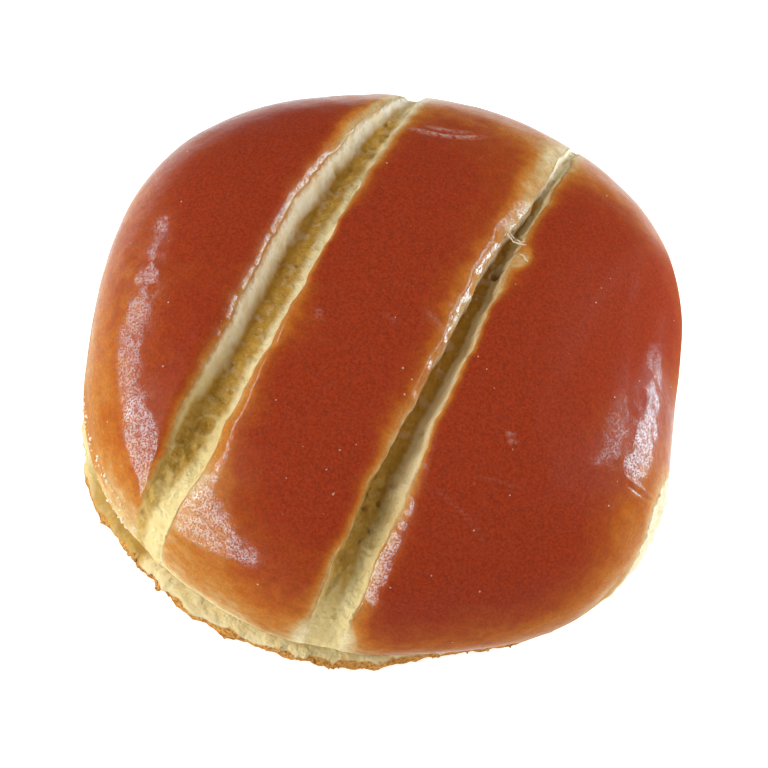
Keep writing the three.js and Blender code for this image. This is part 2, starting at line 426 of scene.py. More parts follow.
    def crown_shares(self, row_angle):
        """Shares across each row: bands between the lips, stepped in angle and crowded towards the lips."""
        lips = []
        for lip in range(2 * len(CUTS)):
            share = np.full_like(row_angle, CUTS[lip // 2][0, 1] / self.girth)
            for _ in range(LIP_PASSES):
                along = np.sqrt(1 - share ** 2) * np.sin(row_angle)
                radius = self.belly(np.arctan2(along, share))
                share = self.cuts(along * radius)[lip // 2][lip % 2] / radius
            lips.append(share)
        ends = np.ones_like(row_angle)
        edges = np.arcsin(np.stack([-ends, *lips, ends], axis=1))
        bands = []
        for band, columns in enumerate(BAND_COLUMNS):
            even = np.arange(columns) / columns
            crowded = (1 - np.cos(np.pi * even)) / 2
            if band == 0:
                crowded = np.sin(np.pi * even / 2)
            if band == len(BAND_COLUMNS) - 1:
                crowded = 1 - np.cos(np.pi * even / 2)
            step = CROWDING * crowded + (1 - CROWDING) * even
            bands.append(edges[:, [band]] + (edges[:, [band + 1]] - edges[:, [band]]) * step)
        return np.sin(np.concatenate([*bands, edges[:, [-1]]], axis=1))

    def skirt_profile(self):
        """Rings below the belly: share of the foot, inset, height and shrink to the middle, as columns."""
        turn = np.linspace(0, np.pi / 2, TUCK_RINGS + 1)[1:]
        height = self.girth_height - (self.girth_height - CREASE_HEIGHT) * np.sin(turn)
        tuck = np.stack([0 * turn, TUCK * (1 - np.cos(turn)), height, 1 + 0 * turn], axis=1)
        groove = np.array([[0, TUCK + 0.6 * CREASE_DEPTH, CREASE_HEIGHT - 0.05, 1],
                           [0, TUCK + CREASE_DEPTH, (CREASE_HEIGHT + FOOT_HEIGHT) / 2, 1]])
        share = np.linspace(0, 1, LEDGE_RINGS + 2)[1:-1, None]
        ledge = (1 - share) * groove[-1] + share * np.array([1, FOOT_ROUND, FOOT_HEIGHT, 1])
        turn = np.linspace(np.pi / 2, -np.pi / 2, FOOT_RINGS)
        height = FOOT_HEIGHT * (1 + np.sin(turn)) / 2
        foot = np.stack([1 + 0 * turn, FOOT_ROUND * (1 - np.cos(turn)), height, 1 + 0 * turn], axis=1)
        under = np.array([[1, FOOT_ROUND, 0, shrink] for shrink in UNDERSIDE_SHRINKS])
        return np.concatenate([tuck, groove, ledge, foot, under])

    def surface_height(self, x, y):
        """Height of the sunk crown over a place in plan."""
        radius = self.belly(np.arctan2(y, x))
        point, outward, _ = self.dome(x / radius, y / radius)
        return point[:, 2] - outward[:, 2] * self.sink(x, y)


def quads_between(lower, upper):
    """Quads of a grid from the point numbers along each row and along the row above it."""
    return np.stack([lower[:, :-1], lower[:, 1:], upper[:, 1:], upper[:, :-1]], axis=-1).reshape(-1, 4)


def bun_surface(form):
    """Closed surface of the bun: points, plan places, quads and triangles.

    The crown is a grid of half turns about X from near belly to far belly, sunk along the dome's outward
    direction. The skirt carries one profile of rings round its edge, down to a single middle point.
    """
    row_angle = np.linspace(-np.pi / 2, np.pi / 2, ROWS + 1)
    across = form.crown_shares(row_angle)
    columns = across.shape[1] - 1
    along = np.sqrt(np.clip(1 - across ** 2, 0, 1)) * np.sin(row_angle)[:, None]
    point, outward, plan = form.dome(across, along)
    point = point - outward * form.sink(plan[..., 0], plan[..., 1])[..., None]

    # Numbers of the crown's points, with one shared point at each pole
    number = 2 + np.arange((ROWS + 1) * (columns - 1)).reshape(ROWS + 1, columns - 1)
    number = np.concatenate([np.zeros((ROWS + 1, 1), int), number, np.ones((ROWS + 1, 1), int)], axis=1)
    crown_points = np.concatenate([point[0, [0, -1]], point[:, 1:-1].reshape(-1, 3)])
    crown_plan = np.concatenate([plan[0, [0, -1]], plan[:, 1:-1].reshape(-1, 2)])

    # Skirt: near edge from left to right, then far edge back again
    edge = np.concatenate([number[0], number[-1, -2:0:-1]])
    edge_plan = crown_plan[edge]
    angle = np.arctan2(edge_plan[:, 1], edge_plan[:, 0])
    foot_share, inset, height, shrink = form.skirt_profile().T[:, :, None]
    fade = np.clip((height - CREASE_HEIGHT) / (form.girth_height - CREASE_HEIGHT), 0, 1)
    radius = (1 - foot_share) * form.belly(angle) + foot_share * form.foot(angle) - inset
    radius = (radius - fade * form.sink(edge_plan[:, 0], edge_plan[:, 1])) * shrink
    height = np.broadcast_to(height, radius.shape)
    skirt = np.stack([radius * np.cos(angle), radius * np.sin(angle), height], axis=-1)
    rings = len(skirt)
    ring = len(crown_points) + np.arange(rings * len(edge)).reshape(rings, -1)
    ring = np.concatenate([edge[None], ring])
    middle = len(crown_points) + rings * len(edge)

    points = np.concatenate([crown_points, skirt.reshape(-1, 3), np.zeros((1, 3))])
    plans = np.concatenate([crown_plan, np.tile(edge_plan, (rings, 1)), np.zeros((1, 2))])
    inner = number[:, 1:-1]
    closed = np.concatenate([ring, ring[:, :1]], axis=1)
    quads = np.concatenate([quads_between(inner[:-1], inner[1:]), quads_between(closed[1:], closed[:-1])])
    left = np.stack([number[:-1, 0], number[:-1, 1], number[1:, 1]], axis=-1)
    right = np.stack([number[:-1, -2], number[:-1, -1], number[1:, -2]], axis=-1)
    fan = np.stack([ring[-1], np.full(len(edge), middle), closed[-1, 1:]], axis=-1)
    return points, plans, quads, np.concatenate([left, right, fan])


def surface_normals(points, quads, triangles):
    """Unit normals of the points: the sum of the cross products of the faces that meet there."""
    corners = np.concatenate([triangles, quads[:, [0, 1, 2]], quads[:, [0, 2, 3]]])
    a, b, c = points[corners.T]
    sides = np.cross(b - a, c - a).T
    sums = [np.bincount(corners.ravel(), np.repeat(side, 3), len(points)) for side in sides]
    total = np.stack(sums, axis=1)
    return total / np.maximum(np.linalg.norm(total, axis=1, keepdims=True), 1e-12)


def crease_depth(plan, crease):
    """Fold in the crust: relief of a bowed bell-shaped groove with a lower ridge, and the mask of its scuff
    and painted sheen.
    """
    x0, y0, x1, y1, bow, width, depth = crease
    chord = np.array([x1 - x0, y1 - y0])
    length = np.hypot(*chord)
    offset = plan - (x0, y0)
    along = offset @ chord / length ** 2
    across = (offset[:, 1] * chord[0] - offset[:, 0] * chord[1]) / length - 4 * bow * along * (1 - along)
    window = smooth_step(-0.1, 0.25, along) * smooth_step(1.1, 0.75, along)
    groove = np.exp(-(across / width) ** 2)
    ridge = np.exp(-((across - 1.7 * width) / width) ** 2)
    return CREASE_SHARE * depth * window * (0.7 * ridge - groove), window * ridge * depth


class BunSkin:
    """Surface of the bun with the masks that its relief and its colours share."""

    def __init__(self, form):
        self.form = form
        self.points, self.plan, self.quads, self.triangles = bun_surface(form)
        self.x, self.y = self.plan.T
        self.z = z = self.points[:, 2]
        self.turn = np.degrees(np.arctan2(self.y, self.x))
        self.lip, self.rolled = form.lip_distance(self.x, self.y)
        self.on_top = smooth_step(CREASE_HEIGHT, CREASE_HEIGHT + 8, z)

        # Where the crumb shows: in the cuts, on the foot and on the torn side; the flat underside stays plain
        self.in_cut = smooth_step(0.1, -0.9, self.lip) * smooth_step(CREASE_HEIGHT, CREASE_HEIGHT + 6, z)
        self.foot = smooth_step(CREASE_HEIGHT + 0.35, CREASE_HEIGHT - 0.25, z)
        self.torn_reach = TORN_TOP - TORN_BEND * (self.turn - TORN_MIDDLE) ** 2 - z
        ragged = ring_noise(self.turn / 3, z / 4, 0, 21)
        self.torn = smooth_step(-2.0, 1.5, self.torn_reach + 1.2 * ragged)
        inward = form.foot(np.radians(self.turn)) - FOOT_ROUND - np.hypot(*self.points[:, :2].T)
        self.under = smooth_step(0.2, 0.0, z) * smooth_step(1, 3, inward)
        self.run_out = RUN_OUT_LOSS * smooth_step(24, 12, z) * np.exp(-np.maximum(self.lip, 0) / 1.6)
        pale = through_stations(PALE_HEIGHTS, self.turn)[:, 0]
        self.baked = np.clip(0.5 + (z - pale) / BROWNING_SPAN, 0, 1)

    def bell(self, patch, power):
        """Mask of a patch, exp(-|u|^power - |v|^power) in units of its half sizes."""
        x, y, wide, long = patch
        return np.exp(-((self.x - x) / wide) ** power - ((self.y - y) / long) ** power)

    def browning(self):
        """Browning by height above the pale belly, less beside the lips, the flake and the torn patch."""
        browning = self.baked * (1 - FAR_LOSS * smooth_step(24, 48, self.y))
        reaches = through_stations(LIP_GLOW, self.y).T
        for away, reach in zip(self.form.lip_distances(self.x, self.y), reaches):
            beside = np.maximum(away, 0)
            lighter = GLOW_SHARE * np.exp(-(beside / reach) ** GLOW_POWER)
            lighter += (1 - lighter) * EDGE_SHARE * np.exp(-beside / EDGE_REACH)
            browning *= 1 - np.where(away > LIP_INSIDE, lighter, 0)
        flake = np.hypot((self.x - FLAKE[0]) / FLAKE[2], (self.y - FLAKE[1]) / FLAKE[3])
        browning -= FLAKE_LOSS * smooth_step(1.2, 0.3, flake) * (self.lip > -0.5)
        browning = np.maximum(browning, LOW_BROWNING * smooth_step(*LOW_CREAM, self.z))
        browning *= 1 - self.run_out
        browning *= 1 - TORN_LOSS * smooth_step(-5, 0, self.torn_reach)
        beside = np.maximum(self.lip, 0) / np.maximum(self.rolled, 1.5)
        far_lip = smooth_step(1.5, 0.5, beside) * (self.x < 11)
        browning *= 1 - FAR_LIP_LOSS * smooth_step(12, 34, self.y) * far_lip
        return browning + lumpy_noise(self.points, BROWNING_PATCHES) * smooth_step(0.02, 0.2, browning)

    def glaze(self):
        """Share of glaze, none on pale crust, where the cuts run out and inside the lips."""
        return np.where(self.lip < 0, 0, smooth_step(0.02, 0.4, self.baked) * (1 - self.run_out))

    def coat(self):
        """Share of the glaze's gloss that is left, nearly none in the dull patches."""
        return np.prod([1 - DULLING * self.bell(patch, 4) for patch in DULL_PATCHES], axis=0)

    def pool(self):
        """Glaze pooled along the lips: a bell outwards from each lip, eased in and out along it."""
        pool = np.zeros_like(self.z)
        lips = zip(self.form.lip_distances(self.x, self.y), LIP_POOLS)
        for away, (start, full, fade, end, share, width) in lips:
            window = smooth_step(start, full, self.y) * smooth_step(end, fade, self.y)
            pool += share * window * np.exp(-(np.maximum(away, 0) / width) ** 2) * (away > LIP_INSIDE)
        return pool

    def pucker(self):
        """Mask of the puckered patches."""
        return sum(self.bell(patch, 2) for patch in PUCKERS) * self.on_top

    def folds(self):
        """Relief of the folds in the crust, and the scuffed glaze and painted sheen on their ridges."""
        folds, rubbed_and_sheen = zip(*(crease_depth(self.plan, crease) for crease in CRUST_CREASES))
        scuff = SCUFF_AND_SHEEN * self.on_top * sum(mask ** 2 for mask in rubbed_and_sheen)
        return self.on_top * (1 - self.in_cut) * sum(folds), np.minimum(scuff, SCUFF_AND_SHEEN_LIMIT)

    def pits(self):
        """Relief of the crumb's pits, hollow bells with a low rim, and painted shade: dark in each hollow,
        pale on its rim.
        """
        draw = np.random.default_rng(31)
        pits = list(CRUMB_PITS)
        margin = LOOSE_PITS["margin"]
        for _ in range(LOOSE_PITS["count"]):
            along = draw.uniform(*LOOSE_PITS["along"])
            left, right, _ = self.form.cuts(np.array(along))[draw.integers(2)]
            across = draw.uniform(left + margin, right - margin)
            radius, depth = draw.uniform(*LOOSE_PITS["radius"]), draw.uniform(*LOOSE_PITS["depth"])
            pits.append((across, along, radius, depth))
        relief, shade = np.zeros_like(self.z), np.zeros_like(self.z)
        for x, y, radius, depth in pits:
            away = np.hypot(self.x - x, self.y - y) / radius
            rim, hollow = np.exp(-((away - 1.25) / 0.3) ** 2), np.exp(-away ** 2)
            relief += depth * (0.35 * rim - hollow)
            # Painted shade in the hollow and painted light on the rim
            shade += 0.5 * depth * (hollow - rim)
        return self.in_cut * relief, self.in_cut * shade

    def lumps(self, sizes):
        """Relief of the crust's gentle lumps, of the torn crumb and its fibres, and of the crumbly foot."""
        edge = self.foot * (1 - self.under)
        rough = np.maximum(np.maximum(self.in_cut, self.torn), edge)
        crust = sizes.crust_relief / MM * lumpy_noise(self.points, CRUST_LUMPS)
        crust += lumpy_noise(self.points, SKIN_LUMPS)
        relief = (1 - rough) * crust + rough * sizes.crumb_relief / MM * lumpy_noise(self.points, CRUMB_LUMPS)
        relief += TORN_FIBRES * self.torn * ring_noise(self.turn * 0.9, self.z / 5, 0, 8)
        relief += edge * lumpy_noise(self.points, FOOT_LUMPS)
        return relief + sizes.pucker_depth / MM * self.pucker() * lumpy_noise(self.points, PUCKER_LUMPS)

    def toast(self):
        """Browned outer edge of the foot below a ragged line, and spots of painted shade along the crease."""
        level = 0 * self.z
        ragged = ring_noise(self.turn / 6, level, 3, 9) + 0.6 * ring_noise(self.turn / 1.7, level, 7, 10)
        start = through_stations(TOAST_HEIGHTS, self.turn)[:, 0] + TOAST_WANDER * ragged
        edge = self.foot * smooth_step(0.7, -0.7, self.z - start)
        spots = smooth_step(-0.25, 0.15, ring_noise(self.turn / 9, level, 5, 14))
        # Painted shade along the crease
        crease = np.exp(-((self.z - CREASE_HEIGHT + 0.2) / 0.4) ** 2)
        return np.maximum(edge, CREASE_SHADE * spots * crease)

    def warmth(self):
        """Share of the warmer crumb: on the foot, torn side, near ends and right half of a cut."""
        near_end = smooth_step(-18, -40, self.y) * smooth_step(2, 0, self.lip) * (1 - self.foot)
        shares = [FOOT_WARMTH * self.foot, near_end, TORN_WARMTH * self.torn]
        for left, right, _ in self.form.cuts(self.y):
            across = (self.x - left) / (right - left)
            reached = (across < 1.3) * (self.z > CREASE_HEIGHT)
            shares.append(WALL_WARMTH * smooth_step(0.3, 0.6, across) * reached)
        return np.max(shares, axis=0)

    def sunk(self):
        """Mask of painted shade on the crumb: floors of the cuts, and the left cut's left wall at its near
        end.
        """
        floor = self.form.depth_share(self.x, self.y) * smooth_step(5, 12, self.z)
        wall = smooth_step(-38, -46, self.y) * smooth_step(-20.5, -22.5, self.x)
        return np.maximum(floor, NEAR_WALL_SHADE * wall * smooth_step(-3.2, -1.6, self.lip))

    def soft_lip(self):
        """Distance from a lip, shortened low down so that the border softens there, and 5 on the foot."""
        return np.where(self.z > CREASE_HEIGHT, self.lip / (1 + 4 * smooth_step(24, 10, self.z)), 5)


def new_piece(name, points, quads, triangles, material, attributes):
    """Mesh object from points in metres, faces and named values at the points, riding on the bun's body."""
    mesh = bpy.data.meshes.new(name)
    mesh.from_pydata(points.tolist(), [], quads.tolist() + triangles.tolist())
    for title, values in attributes.items():
        attribute = mesh.attributes.new(title, "FLOAT", "POINT")
        attribute.data.foreach_set("value", np.ascontiguousarray(values, np.float32))
    mesh.polygons.foreach_set("use_smooth", np.ones(len(mesh.polygons), bool))
    mesh.materials.append(material)
    mesh.update()
    mesh.validate()
    piece = bpy.data.objects.new(name, mesh)
    bpy.context.scene.collection.objects.link(piece)
    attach(piece, BODY)
    return piece


def set_inputs(tree, made, inputs):
    """Gives each named input of a node a plain value or the output of another node."""
    for name, value in inputs.items():
        if isinstance(value, bpy.types.NodeSocket):
            tree.links.new(value, made.inputs[name])
        else:
            made.inputs[name].default_value = value


def add_node(tree, kind, inputs=None, **settings):
    """Node with its settings and inputs."""
    made = tree.nodes.new(kind)
    for name, value in settings.items():
        setattr(made, name, value)
    set_inputs(tree, made, inputs or {})
    return made


def maths(tree, operation, first, second, clamp=False):
    """Output of a Math node."""
    made = add_node(tree, "ShaderNodeMath", {0: first, 1: second}, operation=operation, use_clamp=clamp)
    return made.outputs[0]


def plus(tree, first, second):
    """Sum of two values."""
    return maths(tree, "ADD", first, second)


def times(tree, first, second, clamp=False):
    """Product of two values."""
    return maths(tree, "MULTIPLY", first, second, clamp)


def stretch(tree, value, low, high, out_low=0.0, out_high=1.0):
    """Output of a Map Range node with eased ends."""
    inputs = {"Value": value, "From Min": low, "From Max": high, "To Min": out_low, "To Max": out_high}
    return add_node(tree, "ShaderNodeMapRange", inputs, interpolation_type="SMOOTHSTEP").outputs[0]


def spread(tree, noise, low, high):
    """Noise brought from its usual range to a range from low to high."""
    return stretch(tree, noise, *NOISE_RANGE, low, high)


def opaque(colour):
    """Colour for a socket: the output of a node as it is, or a plain colour with full opacity."""
    return colour if isinstance(colour, bpy.types.NodeSocket) else (*colour, 1.0)


def mix_colours(tree, share, first, second, blend="MIX"):
    """Output of a colour Mix node."""
    inputs = {0: share, 6: opaque(first), 7: opaque(second)}
    return add_node(tree, "ShaderNodeMix", inputs, data_type="RGBA", blend_type=blend).outputs[2]


def grain(tree, place, millimetres, detail=2.0, roughness=0.5):
    """Noise whose lumps are about so many millimetres across."""
    inputs = {"Vector": place, "Scale": 1 / (millimetres * MM), "Detail": detail, "Roughness": roughness}
    return add_node(tree, "ShaderNodeTexNoise", inputs).outputs["Fac"]


def cells_of(tree, place, millimetres):
    """Cells about so many millimetres across."""
    return add_node(tree, "ShaderNodeTexVoronoi", {"Vector": place, "Scale": 1 / (millimetres * MM)})


def object_place(tree):
    """Object coordinates."""
    return add_node(tree, "ShaderNodeTexCoord").outputs["Object"]


def value_of(tree, name):
    """Value that the mesh carries under a name."""
    return add_node(tree, "ShaderNodeAttribute", attribute_name=name).outputs["Fac"]


def colour_ramp(tree, value, stops):
    """Colours at shares from 0 to 1."""
    made = add_node(tree, "ShaderNodeValToRGB", {"Fac": value})
    elements = made.color_ramp.elements
    for place, stop in ((0, stops[0]), (1, stops[-1])):
        elements[place].position, elements[place].color = stop[0], opaque(stop[1])
    for position, colour in stops[1:-1]:
        elements.new(position).color = opaque(colour)
    return made.outputs["Color"]


def raise_bump(tree, shader, height, millimetres):
    """Bump on a shader's normal."""
    inputs = {"Height": height, "Distance": millimetres * MM, "Strength": 1.0}
    set_inputs(tree, shader, {"Normal": add_node(tree, "ShaderNodeBump", inputs).outputs[0]})


def crumb_group(colours):
    """Torn crumb: pale yellow colour with painted shade where it is sunk, and the height of its pores and
    lumps.
    """
    tree = bpy.data.node_groups.new("Torn crumb", "ShaderNodeTree")
    for title in ("Depth", "Toast", "Warm"):
        tree.interface.new_socket(title, in_out="INPUT", socket_type="NodeSocketFloat")
    for title, kind in (("Color", "NodeSocketColor"), ("Height", "NodeSocketFloat")):
        tree.interface.new_socket(title, in_out="OUTPUT", socket_type=kind)
    given = add_node(tree, "NodeGroupInput").outputs
    place = object_place(tree)
    lumps = grain(tree, place, CRUMB_GRAIN["lump"], 3.0)
    fine = grain(tree, place, CRUMB_GRAIN["fibre"], 2.0, 0.6)
    pores = stretch(tree, cells_of(tree, place, CRUMB_GRAIN["pore"]).outputs["Distance"], 0.08, 0.4)
    height = plus(tree, times(tree, lumps, 0.85), times(tree, fine, 0.15))
    height = times(tree, height, stretch(tree, pores, 0.0, 1.0, 0.8, 1.0))
    # Painted shade where the Depth input is high, stronger in the hollows between lumps; the shreds give
    # their browning as that input
    shade_and_brown = times(tree, given["Depth"], spread(tree, lumps, 1.4, 0.7), clamp=True)
    pale = mix_colours(tree, given["Warm"], colours.crumb, colours.crumb_low)
    sunk = mix_colours(tree, given["Warm"], colours.crumb_shade_and_brown, colours.crumb_warm_shade)
    colour = mix_colours(tree, shade_and_brown, pale, sunk)
    # Painted shade: a yellower colour in the hollows between the lumps
    colour = mix_colours(tree, stretch(tree, lumps, 0.6, 0.35, 0.0, 0.35), colour, colours.crumb_gap_shade)
    toast = plus(tree, given["Toast"], spread(tree, lumps, 0.2, -0.2))
    toasted = colour_ramp(tree, fine, ((0.35, colours.toast_dark), (0.6, colours.toast)))
    colour = mix_colours(tree, stretch(tree, toast, 0.35, 0.8), colour, toasted)
    add_node(tree, "NodeGroupOutput", {"Color": colour, "Height": height})
    return tree


def torn_crumb(tree):
    """Outputs of the torn crumb group placed in a material, fed by the values that the mesh carries."""
    inputs = {title: value_of(tree, title.lower()) for title in ("Depth", "Toast", "Warm")}
    return add_node(tree, "ShaderNodeGroup", inputs, node_tree=bpy.data.node_groups["Torn crumb"]).outputs


def new_material(name):
    """Empty node material with its Principled shader linked to the output."""
    material = bpy.data.materials.new(name)
    material.use_nodes = True
    tree = material.node_tree
    tree.nodes.clear()
    shader = add_node(tree, "ShaderNodeBsdfPrincipled")
    add_node(tree, "ShaderNodeOutputMaterial", {"Surface": shader.outputs[0]})
    return material, tree, shader


def crust_material(colours, sizes):
    """Baked crust and torn crumb in one surface, told apart by the values that the mesh carries."""
    material, tree, shader = new_material("baked_crust")
    place = object_place(tree)

    # Crust from cream to dark brown, with patches, mottling and fine grain
    speckle = grain(tree, place, CRUST_GRAIN["speckle"], 2.0, 0.7)
    brown = value_of(tree, "browning")
    for noise, swing in ((grain(tree, place, CRUST_GRAIN["patch"], 3.0), 0.07),
                         (grain(tree, place, CRUST_GRAIN["mottle"], 3.0), 0.05), (speckle, 0.03)):
        brown = plus(tree, brown, spread(tree, noise, -swing, swing))
    crust = colour_ramp(tree, brown, (
        (0.0, colours.cream), (0.16, colours.pale_gold), (0.31, colours.gold), (0.5, colours.orange),
        (0.66, colours.brown), (0.9, colours.dark)))
    crust = mix_colours(tree, 1.0, crust, spread(tree, speckle, 0.81, 1.19), "MULTIPLY")
    dust = stretch(tree, grain(tree, place, CRUST_GRAIN["dust"], 2.0, 0.7), 0.4, 0.75, 0.0, 0.04)
    crust = mix_colours(tree, dust, crust, colours.pale_gold)

    # Painted glints: sparse pale flecks in the glaze that stand in for tiny highlights
    cells = cells_of(tree, place, CRUST_GRAIN["painted_glint"]).outputs
    chance = add_node(tree, "ShaderNodeSeparateColor", {"Color": cells["Color"]}).outputs[0]
    painted_glint = maths(tree, "LESS_THAN", cells["Distance"], stretch(tree, chance, 0.3, 1.0, 0.0, 0.07))
    crust = mix_colours(tree, times(tree, painted_glint, 0.6), crust, colours.painted_glint)

    # Folds with scuffed glaze and painted sheen, grey on their ridges
    rubbed_and_sheen = stretch(tree, grain(tree, place, CRUST_GRAIN["rub_and_sheen"]), 0.3, 0.6)
    crust = mix_colours(tree, times(tree, value_of(tree, "scuff"), rubbed_and_sheen), crust, colours.scuff)

    # Ragged border between crust and crumb
    wander = stretch(tree, grain(tree, place, CRUST_GRAIN["border"], 3.0), 0.25, 0.75, -0.1, 0.1)
    inside = stretch(tree, plus(tree, value_of(tree, "lip"), wander), 0.15, -0.3)
    torn = stretch(tree, plus(tree, value_of(tree, "crumb"), wander), 0.25, 0.75)
    crumby = maths(tree, "MAXIMUM", inside, torn)
    crumb = torn_crumb(tree)

    # Gloss belongs to the glazed crust alone: a beaded coat, full where the glaze pooled along the lips
    peel = grain(tree, place, sizes.peel_size / MM, 1.0)
    haze = grain(tree, place, CRUST_GRAIN["haze"])
    gloss = times(tree, maths(tree, "SUBTRACT", 1.0, crumby), value_of(tree, "glaze"))
    coat = value_of(tree, "coat")
    beads = stretch(tree, peel, 0.42, 0.56, 0.04, 0.34)
    beads = times(tree, beads, stretch(tree, haze, 0.35, 0.55, 0.35, 1.0))
    pooled = times(tree, value_of(tree, "pool"), stretch(tree, peel, 0.38, 0.6, 0.08, 1.0))
    wet = maths(tree, "MAXIMUM", times(tree, coat, beads), pooled)
    set_inputs(tree, shader, {
        "Base Color": mix_colours(tree, crumby, crust, crumb["Color"]),
        "Roughness": stretch(tree, times(tree, gloss, coat), 0.0, 1.0, 0.8, 0.2),
        "Specular IOR Level": 0.05,
        "Coat Weight": times(tree, gloss, wet, clamp=True),
        "Coat Roughness": 0.13,
        "Coat IOR": 2.4,
    })

    # Peel of the glaze, puckers of the crust and grain of the crumb
    lumps = times(tree, grain(tree, place, CRUST_GRAIN["pucker"]), sizes.pucker_depth / MM)
    skin = plus(tree, times(tree, peel, sizes.peel_depth / MM), times(tree, painted_glint, 0.05))
    skin = plus(tree, skin, times(tree, value_of(tree, "pucker"), lumps))
    inputs = {0: crumby, 2: skin, 3: times(tree, crumb["Height"], 0.9)}
    raise_bump(tree, shader, add_node(tree, "ShaderNodeMix", inputs, data_type="FLOAT").outputs[0], 1.0)
    return material


def crumb_material():
    """Loose crumbs and torn shreds: the torn crumb alone."""
    material, tree, shader = new_material("torn_crumb")
    crumb = torn_crumb(tree)
    rough = stretch(tree, crumb["Height"], 0.2, 0.8, 0.9, 0.65)
    set_inputs(tree, shader, {"Base Color": crumb["Color"], "Roughness": rough})
    raise_bump(tree, shader, crumb["Height"], 0.5)
    return material


def shred_tube(form, shred):
    """One shred: rings along a bowed path, of radius width / 2 times sin(pi t)^0.5, closed at both ends."""
    x0, y0, x1, y1, bow, sag, bridge, width, _ = shred
    t = np.linspace(0, 1, SHRED_STEPS)[:, None]
    start, end = np.array([x0, y0]), np.array([x1, y1])
    across = np.array([y0 - y1, x1 - x0]) / np.hypot(x1 - x0, y1 - y0)
    plan = (1 - t) * start + t * end + 4 * bow * t * (1 - t) * across
    height = form.surface_height(plan[:, 0], plan[:, 1])[:, None]
    level = (1 - t) * height[0] + t * height[-1]
    path = np.concatenate([plan, (level if bridge else height) - 4 * sag * t * (1 - t)], axis=1)
    along = np.gradient(path, axis=0)
    side = np.cross(along, (0, 0, 1))
    side /= np.linalg.norm(side, axis=1, keepdims=True)
    up = np.cross(side, along / np.linalg.norm(along, axis=1, keepdims=True))
    turn = np.arange(SHRED_SIDES)[:, None] * 2 * np.pi / SHRED_SIDES
    radius = width / 2 * np.sqrt(np.sin(np.pi * (0.06 + 0.88 * t)))[:, :, None]
    ring = np.cos(turn) * side[:, None] + SHRED_FLATNESS * np.sin(turn) * up[:, None]
    points = (path[:, None] + radius * ring).reshape(-1, 3)
    points = np.concatenate([points, path[:1] - along[:1], path[-1:] + along[-1:]])
    number = np.arange(SHRED_STEPS * SHRED_SIDES).reshape(SHRED_STEPS, SHRED_SIDES)
    closed = np.concatenate([number, number[:, :1]], axis=1)
    quads = quads_between(closed[:-1], closed[1:])
    first = np.stack([closed[0, 1:], number[0], np.full(SHRED_SIDES, number.size)], axis=-1)
    last = np.stack([number[-1], closed[-1, 1:], np.full(SHRED_SIDES, number.size + 1)], axis=-1)
    return points, quads, np.concatenate([first, last])


def lumpy_crumbs(centres, sizes, seed):
    """Crumbs: one 20-sided ball for each centre, turned at random, with each corner pushed in or out."""
    draw = np.random.default_rng(seed)
    golden = (1 + 5 ** 0.5) / 2
    pairs = np.array([(a, b) for a in (-1, 1) for b in (-golden, golden)])
    zero = np.zeros((4, 1))
    rounds = ((zero, pairs), (pairs, zero), (pairs[:, 1:], zero, pairs[:, :1]))
    ball = np.concatenate([np.hstack(columns) for columns in rounds])
    ball /= np.linalg.norm(ball, axis=1, keepdims=True)
    gap = np.linalg.norm(ball[:, None] - ball[None], axis=2)
    close = (gap > 0) & (gap < 1.1)
    trios = itertools.combinations(range(BALL_CORNERS), 3)
    faces = np.array([(i, j, k) for i, j, k in trios if close[i, j] and close[j, k] and close[i, k]])
    a, b, c = ball[faces.T]
    inward = np.sum(np.cross(b - a, c - a) * a, axis=1) < 0
    faces[inward] = faces[inward][:, ::-1]
    count = len(centres)
    turned, _ = np.linalg.qr(draw.normal(size=(count, 3, 3)))
    turned *= np.linalg.det(turned)[:, None, None]
    push = draw.uniform(0.6, 1.25, (count, BALL_CORNERS, 1)) * draw.uniform(0.65, 1.0, (count, 1, 3))
    corners = np.einsum("cij,cvj->cvi", turned, ball[None] * push) * sizes[:, None, None] / 2
    points = (centres[:, None] + corners).reshape(-1, 3)
    return points, (faces[None] + BALL_CORNERS * np.arange(count)[:, None, None]).reshape(-1, 3)


def number_setting(title, text, default, **limits):
    """Number for the panel."""
    return bpy.props.FloatProperty(name=title, description=text, default=default, **limits)


def length_setting(title, text, millimetres):
    """Length in metres for the panel."""
    limits = {"min": 0.0, "precision": 5, "unit": "LENGTH", "subtype": "DISTANCE"}
    return number_setting(title, text, millimetres * MM, **limits)


def power_setting(title, text, watts):
    """Power of a light for the panel."""
    return number_setting(title, text, watts, min=0.0, unit="POWER")


def angle_setting(title, text, degrees):
    """Angle for the panel."""
    return number_setting(title, text, np.radians(degrees), subtype="ANGLE")


def colour_setting(title, text, *screen):
    """Colour for the panel: linear light from a screen colour of 0 to 255."""
    share = np.array(screen) / 255
    linear = np.where(share <= 0.04045, share / 12.92, ((share + 0.055) / 1.055) ** 2.4)
    return bpy.props.FloatVectorProperty(name=title, description=text, default=linear.tolist(), size=3,
                                         min=0.0, max=1.0, subtype="COLOR")


